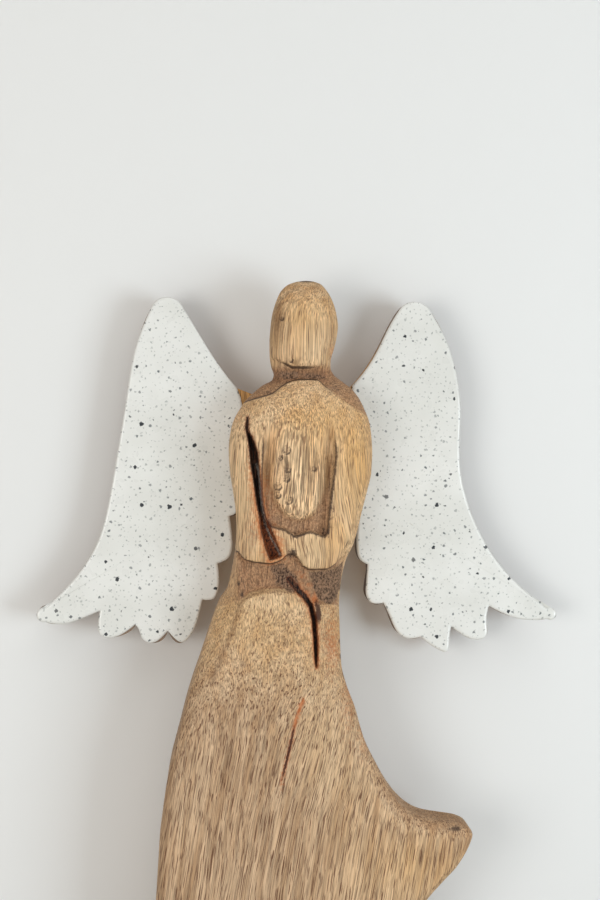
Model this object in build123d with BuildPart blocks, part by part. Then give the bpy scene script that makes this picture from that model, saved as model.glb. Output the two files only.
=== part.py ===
"""Standing wooden angel: one carved block, and two enamelled wooden wings screwed to its back.

Millimetres. +Z is up, the figure faces -Y, and the origin is on the floor under the middle of the
bounding box. Left and right are the viewer's, so the left wing is on -X.
"""

import os
from math import cos, copysign, radians, sin

from build123d import *

# ---- driving dimensions -------------------------------------------------------------------------
HEIGHT = 300.0
SKIRT_FRONT = -23.0  # the block's front and back planes, which the foot of the skirt still keeps
SKIRT_BACK = 23.0

WING_FRONT = 8.0  # the enamel's front
ENAMEL_THICKNESS = 1.2
WOOD_THICKNESS = 7.8
CORE_FRONT = WING_FRONT + ENAMEL_THICKNESS
CORE_BACK = CORE_FRONT + WOOD_THICKNESS
HOUSING_CLEARANCE = 0.15  # round a wing's root, in the housing cut for it in the figure's back

SCREW_SPREAD = 15.0  # from the middle plane to a screw's axis
SCREW_HEIGHTS = {"upper": 234.0, "lower": 210.0}
SCREW_LENGTH = 16.0
SHANK_RADIUS = 1.5
HEAD_RADIUS = 3.0
HEAD_HEIGHT = HEAD_RADIUS - SHANK_RADIUS
HEAD_ANGLE = 90.0
POINT_LENGTH = 3.0
RECESS_LENGTH = 3.2  # the cross recess in a screw's head
RECESS_WIDTH = 0.7
RECESS_DEPTH = 0.9
SCREW_CLEARANCE = 0.05

# The block without its train, as level sections: height, left, right, front, back, and how square
# the section is (2 is an ellipse, and a higher number is nearer a rectangle).
BODY_SECTIONS = [
    (0, -64.2, 40.0, SKIRT_FRONT, SKIRT_BACK, 4.0),
    (30, -63.6, 40.0, SKIRT_FRONT, SKIRT_BACK, 4.0),
    (60, -61.4, 36.5, SKIRT_FRONT, SKIRT_BACK, 4.0),
    (90, -57.0, 31.0, -22.6, 22.0, 4.0),
    (120, -49.8, 20.4, -21.2, 19.5, 3.8),
    (148, -40.4, 16.2, -19.0, 16.0, 3.6),
    (164, -33.2, 16.6, -18.6, 14.0, 3.4),
    (177, -29.8, 18.8, -19.6, 13.0, 3.0),
    (192, -28.7, 24.0, -20.4, 12.4, 2.8),
    (208, -30.4, 28.2, -20.2, 12.0, 2.7),
    (226, -32.0, 30.3, -19.4, 12.0, 2.6),
    (239, -29.7, 28.9, -17.6, 12.0, 2.6),
    (247, -25.2, 25.6, -15.6, 11.6, 2.5),
    (253, -18.6, 20.8, -13.2, 10.2, 2.4),
    (258, -12.6, 14.4, -10.6, 8.8, 2.2),
    (262, -13.2, 12.8, -12.0, 9.2, 2.2),
    (269, -14.0, 13.8, -14.6, 11.0, 2.2),
    (279, -13.6, 15.6, -15.0, 12.0, 2.2),
    (289, -11.8, 14.0, -13.4, 10.6, 2.1),
    (296, -8.0, 10.6, -9.6, 7.2, 2.0),
    (HEIGHT, -2.4, 5.4, -4.0, 2.0, 2.0),
]
SECTION_POINTS = 16

# The train that sweeps out of the skirt's right side: its upper edge, its point and its lower edge.
TRAIN_UPPER = [(27.6, 98.0), (38.2, 77.8), (48.2, 69.2), (61.2, 65.8), (70.2, 63.6)]
TRAIN_POINT = (73.0, 59.8)
TRAIN_LOWER = [(71.0, 54.6), (60.2, 40.2), (47.0, 23.0), (39.5, 0.0)]
TRAIN_FRONT = -22.8
TRAIN_BACK = 3.0  # it is carved thinner than the skirt
TRAIN_ROOT = [(10.0, 0.0), (10.0, 90.0)]  # its inner end, buried in the skirt
TRAIN_CHAMFER = 3.0

# The raised chest between the arms, and the sunk band that runs round three sides of it.
BAND_OUTER = [(-16.5, 238.0), (-17.8, 224.0), (-18.0, 206.0), (-15.4, 194.6), (-8.5, 191.7), (-4.2, 189.0),
              (2.2, 190.6), (8.6, 189.0), (10.3, 196.0), (12.4, 213.0), (13.6, 224.0), (12.8, 232.0)]
BAND_INNER = [(10.4, 231.0), (9.2, 222.0), (8.0, 211.0), (5.6, 203.4), (-1.0, 199.6), (-8.5, 201.0),
              (-13.4, 206.4), (-14.8, 217.0), (-14.4, 236.0)]
BAND_FLOOR = -16.6

# The waist, cut back under the forearms and above the top of the skirt.
FOREARMS_LOWER_EDGE = [(-36.0, 183.0), (-28.4, 182.5), (-25.4, 179.5), (-17.0, 178.0), (-10.6, 179.0),
                       (-6.3, 182.0), (-3.8, 181.1), (-0.8, 176.8), (5.0, 175.0), (12.0, 176.4),
                       (17.1, 184.0), (26.0, 188.0)]
SKIRT_UPPER_EDGE = [(26.0, 160.0), (1.4, 161.8), (-3.3, 165.3), (-12.0, 166.4), (-22.0, 164.8),
                    (-27.5, 160.0), (-36.0, 158.0)]
WAIST_FLOOR = -15.6

# Two drying splits in the block's face, each a narrow slot.
ARM_SPLIT = [(-24.2, 240.0), (-24.8, 232.0), (-23.4, 221.0), (-20.8, 204.5), (-18.8, 192.0), (-14.8, 179.2),
             (-9.8, 180.8), (-12.4, 187.6), (-16.4, 197.4), (-18.2, 204.5), (-19.2, 218.0), (-22.4, 231.6)]
ARM_SPLIT_FLOOR = -12.0
SKIRT_SPLIT = [(-10.0, 175.4), (-2.6, 164.6), (1.8, 158.6), (3.4, 152.8), (4.2, 133.5), (5.4, 133.5),
               (5.6, 153.6), (4.2, 159.6), (-0.4, 166.6), (-5.6, 175.4)]
SKIRT_SPLIT_FLOOR = -13.0

# A wing's outline: up the slope from the enamel's inner corner, over the crown, down the leading edge
# to the tip, back along the trailing edge, then each flight feather's lobe. The root is bare wood.
LEFT_WING = {
    "slope": [(-26.5, 249.0), (-28.2, 253.2), (-31.6, 257.2), (-40.4, 269.6), (-49.0, 283.8),
              (-52.0, 288.6)],
    "crown": (-59.3, 293.6),
    "leading": [(-66.6, 288.2), (-72.2, 274.4), (-77.4, 247.8), (-81.0, 225.6), (-84.8, 203.6),
                (-90.2, 184.4), (-99.6, 169.4), (-112.6, 156.2)],
    "tip": (-116.3, 151.8),
    "trailing": [(-112.8, 149.8), (-106.2, 148.9), (-97.4, 151.0), (-88.9, 154.6)],
    "feathers": [
        [(-89.7, 148.2), (-88.4, 143.6), (-85.2, 142.6), (-73.4, 148.3)],
        [(-72.0, 146.6), (-69.8, 141.6), (-66.8, 140.2), (-58.9, 145.4)],
        [(-51.8, 140.4), (-49.0, 143.0), (-45.0, 153.2), (-43.6, 159.1)],
        [(-38.6, 159.6), (-36.7, 163.4), (-36.9, 175.2)],
        [(-32.2, 177.6), (-30.4, 182.4), (-30.5, 187.8), (-31.6, 196.2)],
    ],
    "root": [(-8.0, 200.0), (-8.0, 243.0), (-20.0, 250.0), (-24.0, 251.6)],
}
RIGHT_WING = {
    "slope": [(23.5, 250.0), (23.2, 254.4), (27.0, 258.6), (35.2, 271.2), (41.2, 283.2), (44.6, 288.6)],
    "crown": (52.0, 292.4),
    "leading": [(58.8, 288.2), (66.0, 275.0), (70.2, 261.8), (72.4, 247.0), (72.4, 217.0), (75.8, 201.8),
                (82.3, 186.4), (92.8, 171.0), (112.6, 153.6)],
    "tip": (116.3, 150.4),
    "trailing": [(112.4, 149.1), (104.3, 148.7), (96.0, 150.2), (85.4, 155.2)],
    "feathers": [
        [(84.4, 148.0), (83.8, 141.2), (81.6, 140.2), (74.4, 141.7), (68.2, 146.0)],
        [(67.4, 140.0), (66.0, 134.7), (63.2, 135.4), (54.3, 141.6)],
        [(48.6, 141.0), (45.8, 142.0), (40.4, 150.8), (37.4, 157.0)],
        [(31.6, 157.4), (29.8, 160.0), (29.6, 165.4), (30.2, 174.4)],
        [(27.0, 176.4), (25.4, 181.8), (25.8, 193.2)],
    ],
    "root": [(6.0, 198.0), (6.0, 243.0), (16.0, 249.0), (20.0, 252.0)],
}

IN_FRONT = -40.0  # clear of everything, where a cut into the front starts
BEHIND = 30.0  # clear of everything, where a cut into the back starts


# ---- shared shapes ------------------------------------------------------------------------------
def section_points(left, right, front, back, squareness):
    """Points round one level section, on a superellipse between the four sides."""
    points = []
    for step in range(SECTION_POINTS):
        turn = radians(360 * step / SECTION_POINTS)
        across = copysign(abs(cos(turn)) ** (2 / squareness), cos(turn))
        along = copysign(abs(sin(turn)) ** (2 / squareness), sin(turn))
        x = (left + right + (right - left) * across) / 2
        y = (front + back + (back - front) * along) / 2
        points.append((x, y))
    return points


def upright(y):
    """The plane at depth y that faces -Y, so that its sketch axes are +X and +Z."""
    return Plane(origin=(0, y, 0), x_dir=(1, 0, 0), z_dir=(0, -1, 0))


def cut_front(outline, floor):
    """Cuts a polygon into the open part, from in front of the figure back to the depth floor."""
    with BuildSketch(upright(floor)) as opening:
        with BuildLine():
            Polyline(*outline, close=True)
        make_face()
    extrude(opening.sketch, amount=floor - IN_FRONT, mode=Mode.SUBTRACT)


def draw_feathered_edge(wing):
    """Draws the edge from the top of the root, round the whole wing, to the foot of the root."""
    Spline(*wing["slope"][1:])
    ThreePointArc(wing["slope"][-1], wing["crown"], wing["leading"][0])
    Spline(*wing["leading"])
    ThreePointArc(wing["leading"][-1], wing["tip"], wing["trailing"][0])
    Spline(*wing["trailing"])
    notch = wing["trailing"][-1]
    for lobe in wing["feathers"]:
        Spline(notch, *lobe)
        notch = lobe[-1]


def screw_places(side):
    """Each screw's name and its axis in the back plane, for side -1 (left) or 1 (right)."""
    return {name: (side * SCREW_SPREAD, height) for name, height in SCREW_HEIGHTS.items()}


def draw_screw_holes(side, radius):
    """Sketches the two screw holes of one wing."""
    with Locations(*screw_places(side).values()):
        Circle(radius)


# ---- sub-parts ----------------------------------------------------------------------------------
def make_figure_body():
    """The carved block: skirt, train, torso and head in one, with its back housed for the wings."""
    with BuildPart() as figure_body:
        with BuildSketch(upright(TRAIN_BACK)):
            with BuildLine():
                Spline(*TRAIN_UPPER)
                ThreePointArc(TRAIN_UPPER[-1], TRAIN_POINT, TRAIN_LOWER[0])
                Spline(*TRAIN_LOWER)
                Polyline(TRAIN_LOWER[-1], *TRAIN_ROOT, TRAIN_UPPER[0])
            make_face()
        extrude(amount=TRAIN_BACK - TRAIN_FRONT)
        rims = figure_body.faces().filter_by(Axis.Y).edges()
        chamfer(rims.filter_by(lambda edge: edge.center().X > TRAIN_UPPER[0][0]), TRAIN_CHAMFER)

        for height, *sides in BODY_SECTIONS:
            with BuildSketch(Plane.XY.offset(height)):
                with BuildLine():
                    Spline(*section_points(*sides), periodic=True)
                make_face()
        loft(ruled=True)

        cut_front(FOREARMS_LOWER_EDGE + SKIRT_UPPER_EDGE, WAIST_FLOOR)
        cut_front(BAND_OUTER + BAND_INNER, BAND_FLOOR)
        cut_front(ARM_SPLIT, ARM_SPLIT_FLOOR)
        cut_front(SKIRT_SPLIT, SKIRT_SPLIT_FLOOR)

        for side, wing in ((-1, LEFT_WING), (1, RIGHT_WING)):
            with BuildSketch(upright(BEHIND)):
                with BuildLine():
                    Polyline(wing["feathers"][-1][-1], *wing["root"], *wing["slope"][1::-1], close=True)
                make_face()
                offset(amount=HOUSING_CLEARANCE)
            extrude(amount=BEHIND - CORE_FRONT, mode=Mode.SUBTRACT)
            with BuildSketch(upright(CORE_FRONT)):
                draw_screw_holes(side, SHANK_RADIUS + SCREW_CLEARANCE)
            extrude(amount=SCREW_LENGTH - WOOD_THICKNESS + SCREW_CLEARANCE, mode=Mode.SUBTRACT)
    return figure_body


def make_wing_core(side, wing):
    """The sawn board of one wing with its bare root, countersunk from behind for two screws."""
    with BuildPart() as core:
        with BuildSketch(upright(CORE_BACK)):
            with BuildLine():
                draw_feathered_edge(wing)
                Polyline(wing["feathers"][-1][-1], *wing["root"], wing["slope"][1])
            make_face()
        extrude(amount=WOOD_THICKNESS)
        back = Plane(origin=(0, CORE_BACK, 0), x_dir=(-1, 0, 0), z_dir=(0, 1, 0))
        places = [(-x, z) for x, z in screw_places(side).values()]
        hole = SHANK_RADIUS + SCREW_CLEARANCE
        mouth = HEAD_RADIUS + SCREW_CLEARANCE
        with Locations(back):
            with Locations(*places):
                CounterSinkHole(hole, mouth, WOOD_THICKNESS, HEAD_ANGLE)
    return core


def make_wing_enamel(wing):
    """The white coat on a wing's front, which stops short of the root."""
    with BuildPart() as enamel:
        with BuildSketch(upright(CORE_FRONT)):
            with BuildLine():
                Line(wing["slope"][0], wing["slope"][1])
                draw_feathered_edge(wing)
                Line(wing["feathers"][-1][-1], wing["slope"][0])
            make_face()
        extrude(amount=ENAMEL_THICKNESS)
    return enamel


def make_screw(x, z):
    """A countersunk wood screw driven forwards: head, plain shank and point, with a cross recess."""
    point_start = CORE_BACK - SCREW_LENGTH + POINT_LENGTH
    with BuildPart() as screw:
        with BuildSketch(Plane(origin=(x, 0, z), x_dir=(1, 0, 0), z_dir=(0, 0, 1))):
            with BuildLine():
                Polyline((0, CORE_BACK), (HEAD_RADIUS, CORE_BACK), (SHANK_RADIUS, CORE_BACK - HEAD_HEIGHT),
                         (SHANK_RADIUS, point_start), (0, CORE_BACK - SCREW_LENGTH), close=True)
            make_face()
        revolve(axis=Axis((x, 0, z), (0, 1, 0)))
        with BuildSketch(Plane(origin=(x, CORE_BACK, z), x_dir=(-1, 0, 0), z_dir=(0, 1, 0))):
            Rectangle(RECESS_LENGTH, RECESS_WIDTH)
            Rectangle(RECESS_WIDTH, RECESS_LENGTH)
        extrude(amount=-RECESS_DEPTH, mode=Mode.SUBTRACT)
    return screw


def save(builder, name):
    """Labels a finished piece and writes its STEP file."""
    builder.part.label = name
    export_step(builder.part, f"parts/{name}.step")


os.makedirs("parts", exist_ok=True)
save(make_figure_body(), "figure_body")
for side_name, side, wing in (("left", -1, LEFT_WING), ("right", 1, RIGHT_WING)):
    save(make_wing_core(side, wing), f"{side_name}_wing_core")
    save(make_wing_enamel(wing), f"{side_name}_wing_enamel")
    for place, (x, z) in screw_places(side).items():
        save(make_screw(x, z), f"{side_name}_wing_{place}_screw")
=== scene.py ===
"""A carved wooden angel with two speckled enamel wings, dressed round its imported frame.

Every mesh is worked out in millimetres, x to the right, y to the back and z upwards, and is stored
in metres. The carved block is one skin, the enamel coats are one skin each, and the sawn wing boards
and the screws are the frame's own pieces with finishes of their own.
"""

from types import SimpleNamespace

import bpy
import numpy as np
from bpy.props import FloatProperty, FloatVectorProperty, IntProperty, PointerProperty
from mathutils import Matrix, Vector


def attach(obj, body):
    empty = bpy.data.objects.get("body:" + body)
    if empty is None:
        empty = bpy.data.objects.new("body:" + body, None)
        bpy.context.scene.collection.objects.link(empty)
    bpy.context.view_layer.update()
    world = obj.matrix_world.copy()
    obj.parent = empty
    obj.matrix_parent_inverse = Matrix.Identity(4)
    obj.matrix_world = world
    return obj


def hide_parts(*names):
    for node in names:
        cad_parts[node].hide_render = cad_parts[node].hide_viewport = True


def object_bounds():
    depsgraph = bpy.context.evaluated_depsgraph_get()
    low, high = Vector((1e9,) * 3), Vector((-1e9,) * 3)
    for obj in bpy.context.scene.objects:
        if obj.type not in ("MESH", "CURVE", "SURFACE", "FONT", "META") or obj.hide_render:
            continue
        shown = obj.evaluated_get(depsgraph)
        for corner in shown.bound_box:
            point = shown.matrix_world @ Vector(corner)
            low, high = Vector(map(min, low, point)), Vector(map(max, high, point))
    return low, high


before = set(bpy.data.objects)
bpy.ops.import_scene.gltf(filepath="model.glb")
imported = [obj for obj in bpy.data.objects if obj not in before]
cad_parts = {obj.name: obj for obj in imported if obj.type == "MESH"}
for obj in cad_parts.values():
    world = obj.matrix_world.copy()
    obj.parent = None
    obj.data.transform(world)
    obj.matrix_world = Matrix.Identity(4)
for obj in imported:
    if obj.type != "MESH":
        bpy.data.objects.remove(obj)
FRAME_LOW, FRAME_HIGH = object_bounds()

bl_info = {
    "name": "Carved Angel Figurine",
    "version": (1, 0, 0),
    "blender": (4, 5, 0),
    "location": "View3D > Sidebar > Figurine",
    "description": "Carves a wooden angel, coats its wings with speckled enamel and sets its stage",
    "category": "Add Mesh",
}

MM = 0.001


def paint(red, green, blue):
    """A display colour from 0 to 255 as linear light: ((c + 0.055) / 1.055) to the power 2.4."""
    return tuple(((c / 255 + 0.055) / 1.055) ** 2.4 for c in (red, green, blue))


# ---- the block: its two side lines, paired level by level from the base to the crown ------------
# left x, left z, right x, right z
SIDES = [
    (-64.0, 0.0, 39.5, 0.0), (-63.7, 20.0, 44.6, 18.5), (-63.3, 32.0, 52.2, 31.4),
    (-62.8, 40.0, 60.1, 40.2), (-62.4, 47.0, 66.0, 46.4), (-62.0, 53.0, 70.2, 53.0),
    (-61.8, 57.0, 72.0, 56.8), (-61.6, 60.0, 72.9, 60.0), (-61.3, 64.0, 71.3, 62.7),
    (-60.9, 67.5, 67.2, 64.7), (-60.5, 70.5, 61.1, 65.8), (-60.1, 73.5, 53.4, 67.2),
    (-59.5, 77.0, 48.0, 69.2), (-58.9, 81.0, 42.9, 72.4), (-58.1, 86.0, 38.1, 78.0),
    (-57.1, 91.0, 34.2, 84.9), (-55.6, 96.8, 29.8, 93.3), (-53.6, 104.5, 25.8, 101.8),
    (-50.2, 117.8, 21.8, 115.6), (-47.7, 126.0, 18.3, 125.0), (-45.0, 133.8, 16.3, 133.5),
    (-41.8, 143.5, 15.9, 143.5), (-38.4, 153.8, 15.8, 153.5), (-35.6, 160.5, 16.1, 160.5),
    (-32.6, 165.0, 16.6, 165.0), (-31.0, 171.5, 17.5, 171.5), (-29.8, 177.5, 18.9, 177.5),
    (-28.9, 184.5, 21.6, 184.5), (-28.6, 191.0, 23.6, 191.0), (-29.0, 199.0, 25.6, 199.0),
    (-30.2, 208.0, 28.0, 208.0), (-31.5, 216.5, 29.9, 216.5), (-32.0, 225.5, 30.3, 225.5),
    (-31.2, 234.0, 29.8, 234.0), (-29.5, 239.5, 28.8, 239.3), (-27.2, 243.6, 27.1, 243.6),
    (-25.2, 246.8, 25.0, 248.0), (-22.0, 250.0, 21.6, 252.4), (-17.5, 253.8, 17.2, 256.0),
    (-13.0, 256.4, 13.8, 258.8), (-12.2, 259.0, 12.6, 261.5), (-13.3, 262.5, 12.8, 265.5),
    (-14.0, 268.0, 14.0, 270.0), (-14.0, 273.5, 15.2, 275.0), (-13.6, 279.5, 15.7, 280.0),
    (-12.9, 285.0, 14.9, 286.0), (-11.4, 290.5, 13.2, 291.5), (-9.4, 295.0, 11.0, 295.6),
    (-6.0, 298.3, 8.2, 298.7), (-2.5, 299.6, 5.2, 299.8),
]
CROWN = (1.5, 300.0)

# height, then millimetres at that height
FRONT = [(0, 22.9), (60, 22.9), (90, 22.5), (110, 22.1), (130, 20.9), (150, 18.9), (163, 17.9),
         (172, 18.3), (178, 19.4), (188, 20.4), (200, 20.0), (225, 19.6), (240, 17.6), (252, 13.6),
         (257, 10.6), (262, 12.8), (268, 14.6), (278, 15.0), (288, 14.2), (300, 11.0)]
BACK = [(0, 22.9), (70, 22.9), (90, 21.9), (120, 19.4), (148, 15.9), (164, 13.6), (178, 12.0),
        (240, 12.0), (250, 10.6), (257, 8.8), (263, 10.0), (272, 12.0), (288, 11.6), (300, 8.0)]
SIDE_REACH = [(0, 7.0), (110, 7.0), (150, 9.0), (180, 8.0), (235, 9.0), (250, 9.0), (258, 8.0),
              (266, 10.0), (300, 12.0)]
SIDE_FALL = [(0, 7.5), (110, 7.5), (150, 8.0), (180, 8.0), (235, 9.5), (250, 8.0), (258, 7.0),
             (266, 10.5), (300, 10.0)]
BULGE = [(0, 0.6), (120, 1.0), (165, 2.5), (200, 3.5), (240, 3.5), (258, 1.5), (266, 2.0),
         (300, 1.5)]
# how far the grain has dived towards the front at each height: steep stretches show cut pores
DIVE = [(0, 0.0), (60, 2.6), (100, 6.0), (118, 9.6), (128, 14.0), (145, 23.5), (164, 33.5),
        (172, 35.5), (188, 37.5), (205, 40.0), (232, 43.5), (244, 48.0), (258, 57.0), (266, 60.0),
        (288, 62.5), (300, 70.0)]

# ---- carved lines on the front, as (x, z) -------------------------------------------------------
FOREARM_EDGE = [(-40.0, 184.0), (-28.4, 182.5), (-25.4, 179.5), (-19.9, 178.2), (-14.8, 177.8),
                (-10.6, 179.0), (-6.3, 182.0), (-3.8, 181.1), (-0.8, 176.8), (3.0, 175.1),
                (8.6, 175.1), (14.1, 178.0), (17.1, 184.0), (20.5, 190.0), (26.0, 197.0)]
SKIRT_EDGE = [(-40.0, 157.0), (-30.0, 160.0), (-26.0, 162.4), (-23.0, 164.6), (-19.9, 165.4),
              (-15.6, 166.2), (-8.4, 166.2), (-3.3, 165.3), (1.4, 161.8), (6.0, 159.4),
              (11.0, 158.9), (20.0, 158.0)]
NECKLINE = [(-34.0, 241.0), (-26.2, 245.8), (-18.1, 248.3), (-13.8, 249.6), (-9.1, 253.1),
            (-5.2, 255.2), (-0.5, 255.9), (5.9, 255.7), (9.0, 253.1), (15.4, 248.0), (20.6, 244.2),
            (32.0, 238.0)]
CHIN = [(-20.0, 267.0), (-11.6, 265.1), (-8.2, 263.4), (-3.9, 261.7), (2.6, 261.7), (9.0, 262.6),
        (11.2, 265.2), (20.0, 270.0)]
ARM_CRACK = [(-24.6, 240.1), (-25.4, 235.0), (-24.6, 231.6), (-23.7, 226.5), (-23.3, 220.6),
             (-22.0, 213.0), (-20.8, 204.5), (-19.5, 197.3), (-18.6, 190.9), (-16.9, 184.2),
             (-14.8, 178.6), (-9.7, 180.7), (-11.8, 186.2), (-14.0, 191.8), (-16.9, 198.1),
             (-18.2, 204.5), (-18.6, 210.9), (-19.1, 217.2), (-19.9, 224.9), (-21.6, 229.9),
             (-23.7, 234.2), (-23.7, 240.1)]
SKIRT_CRACK = [(-6.2, 170.3), (-2.8, 166.0), (0.2, 163.0), (2.8, 159.1), (4.1, 153.2), (4.7, 144.6),
               (4.9, 133.5)]
LOW_CRACK = [(-0.9, 119.9), (-1.8, 117.8), (-4.3, 110.6), (-6.4, 100.9), (-9.0, 90.4),
             (-11.1, 79.9)]
FIBRE_LINE = [(-20.4, 219.8), (-19.1, 213.8), (-18.7, 207.0), (-18.1, 200.3), (-16.6, 193.5),
              (-13.8, 187.5), (-11.5, 183.3), (-10.6, 181.2)]
CHEST_RIM = [(-16.5, 246.0), (-17.4, 229.9), (-18.2, 217.2), (-18.2, 208.7), (-17.8, 202.4),
             (-16.5, 196.0), (-14.0, 193.0), (-8.5, 191.7), (-4.2, 188.8), (2.2, 190.8),
             (8.6, 188.7), (9.9, 190.4), (10.3, 195.9), (11.2, 204.4), (12.4, 212.9), (13.7, 223.6),
             (12.9, 231.7), (12.9, 246.0)]
CHEST_PANEL = [(12.0, 246.0), (10.7, 231.2), (9.4, 223.6), (8.6, 212.0), (7.4, 203.0), (3.8, 197.2),
               (-2.1, 195.4), (-8.2, 197.2), (-12.8, 203.0), (-14.8, 213.0), (-14.8, 225.7),
               (-14.4, 246.0)]
WAIST_PATCH = [(-15.0, 176.4), (-8.7, 177.4), (-3.0, 171.6), (-1.2, 165.4), (-6.1, 164.4),
               (-11.6, 168.0)]
WAIST_SCAR = [(1.6, 173.6), (13.2, 174.5), (17.5, 178.0), (17.0, 166.0), (14.4, 161.5),
              (11.0, 158.9), (5.9, 161.6)]
SKIRT_RIDGE = [(96.0, -47.5), (111.4, -43.4), (124.1, -38.8), (136.7, -34.2), (145.2, -30.8),
               (153.6, -27.8), (164.2, -25.2), (174.8, -26.4), (183.0, -27.6)]
KNOTS = [(-7.7, 225.7, 1.7), (3.8, 217.6, 1.0), (-7.2, 217.2, 1.2), (-7.7, 213.4, 1.3),
         (-11.5, 210.2, 1.6), (-11.5, 206.4, 1.3), (-6.8, 204.4, 1.6), (-10.2, 222.4, 0.9),
         (-9.4, 282.3, 0.8), (-5.5, 264.2, 0.8)]
CRACK_CUT_HALF = [(133.0, 0.35), (140.0, 0.85), (155.0, 1.05), (163.0, 1.2), (171.0, 1.4)]
CRACK_STAIN_HALF = [(133.0, 0.25), (140.0, 0.8), (155.0, 1.0), (163.0, 1.1), (171.0, 1.3)]
BARK = [(15.3, 171.6), (16.0, 166.5), (15.3, 162.0), (15.5, 143.5), (15.9, 137.0), (17.2, 129.6),
        (-28.0, 168.5), (-26.5, 164.0)]

# how deep each cut goes at its deepest
CUTS = {
    "waist": 3.7, "chest": 3.4, "chest_rim": 0.9, "chest_facet": 0.8, "arm_crack": 5.6,
    "skirt_crack": 4.2, "low_crack": 0.7, "neck": 1.7, "throat": 1.6, "knot": 0.50,
}

# ---- soft ovals on the front, as (x, z, half width, half height, strength) -----------------------
CHEST_FACET = [(10.2, 226.5, 2.0, 4.0, 1.0)]
CHIN_SHADOW = [(-3.0, 262.0, 8.5, 5.0, 1.0)]
TORN_SPOTS = [
    (-15.2, 193.5, 2.0, 4.0, 0.9), (8.8, 190.5, 2.4, 2.4, 0.8), (-4.2, 189.2, 2.6, 1.2, 0.7),
    (-5.8, 181.8, 2.6, 2.6, 0.8), (-6.0, 258.0, 6.0, 2.4, 0.85), (4.0, 257.4, 6.0, 1.8, 0.80),
    (13.0, 252.5, 5.0, 4.0, 0.55), (-15.0, 250.5, 4.0, 2.0, 0.50), (11.4, 206.0, 1.4, 14.0, 0.50),
    (-12.5, 196.4, 4.0, 2.0, 0.55),
]
# dark spots: at the crown, at the forearms' lower edge and on the train's tip
DARK_SPOTS = [
    (1.7, 299.6, 4.5, 1.0, 0.9), (-5.0, 182.0, 1.4, 1.8, 1.0), (64.5, 63.6, 3.6, 0.9, 0.9),
    (56.0, 63.6, 3.0, 0.8, 0.4),
]
AMBER_SPOTS = [
    (4.6, 161.5, 1.8, 3.2, 0.9), (-1.0, 172.0, 3.0, 2.4, 0.40), (2.6, 168.0, 2.6, 1.6, 0.45),
    (12.0, 143.0, 5.0, 14.0, 0.55), (19.0, 120.0, 4.0, 16.0, 0.40), (25.5, 103.0, 4.5, 12.0, 0.34),
    (-11.0, 186.0, 3.2, 4.0, 0.7), (-21.6, 224.0, 1.6, 9.0, 0.6), (13.2, 268.0, 2.2, 5.0, 0.5),
    (18.0, 172.0, 2.6, 8.0, 0.4), (-22.0, 196.0, 3.5, 12.0, 0.35), (-29.0, 240.0, 4.0, 7.0, 0.3),
]
UMBER_SPOTS = [
    (5.9, 156.0, 1.5, 4.6, 1.0), (5.2, 159.6, 1.2, 2.6, 0.7), (-7.5, 171.0, 4.4, 4.0, 0.80),
]
GOLD_SPOTS = [
    (12.0, 236.0, 15.0, 14.0, 0.75), (22.0, 222.0, 9.0, 26.0, 1.0), (0.0, 240.0, 12.0, 10.0, 0.5),
    (3.0, 285.0, 12.0, 10.0, 0.5), (14.0, 190.0, 9.0, 9.0, 0.5), (48.0, 48.0, 22.0, 13.0, 0.35),
]
# pale patches, and painted highlights: the torso's left side catching the light, the lit facet beside the
# chest and the hands
PALE_AND_LIT_SPOTS = [
    (0.0, 203.0, 7.0, 6.0, 0.25), (10.6, 227.0, 1.9, 4.6, 1.3), (2.0, 182.0, 8.0, 6.5, 0.65),
    (-22.0, 186.0, 4.5, 7.0, 0.6), (5.0, 268.0, 8.0, 7.0, 0.2), (19.0, 208.0, 6.0, 8.0, 0.15),
    (-14.0, 162.0, 14.0, 3.5, 0.45), (30.0, 36.0, 30.0, 12.0, 0.3), (6.0, 104.0, 15.0, 26.0, 0.55),
    (-18.0, 234.0, 5.0, 9.0, 0.4), (-27.0, 212.0, 5.5, 28.0, 0.95),
]
SHADE_SPOTS = [
    (-11.0, 281.0, 3.5, 12.0, 0.6), (-4.0, 264.0, 7.0, 2.0, 0.4), (-9.0, 216.0, 4.5, 14.0, 0.50),
    (9.6, 214.0, 1.8, 12.0, 0.35), (13.3, 277.0, 1.6, 8.0, 0.3), (-8.5, 134.0, 14.0, 7.0, 0.16),
    (-9.0, 152.0, 15.0, 12.0, 0.26), (-34.0, 96.0, 14.0, 36.0, 0.14), (9.5, 146.0, 4.5, 12.0, 0.45),
    (22.0, 222.0, 9.0, 26.0, 0.16), (-2.0, 72.0, 14.0, 11.0, 0.20), (-12.0, 54.0, 12.0, 10.0, 0.22),
    (56.0, 54.0, 12.0, 4.0, 0.35),
]

# ---- the stage --------------------------------------------------------------------------------------
WALL_COLOUR = paint(230, 231, 231)
FLOOR_COLOUR = paint(230, 229, 226)
SKY_COLOUR = (1.0, 0.945, 0.87, 1.0)
CAMERA_TARGET = (-0.74, 0.0, 225.7)
# name, size, place, target, colour
LIGHTS = (
    ("light_right", 0.42, (0.66, -0.66, 0.10), (0, 0, 0.20), (0.84, 0.94, 1.0)),
    ("light_left", 0.42, (-0.54, -0.72, 0.16), (0, 0, 0.20), (1.0, 0.985, 0.95)),
    ("light_top", 1.0, (0.25, -0.55, 1.25), (0, 0, 0.25), (0.96, 0.985, 1.0)),
)

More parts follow.
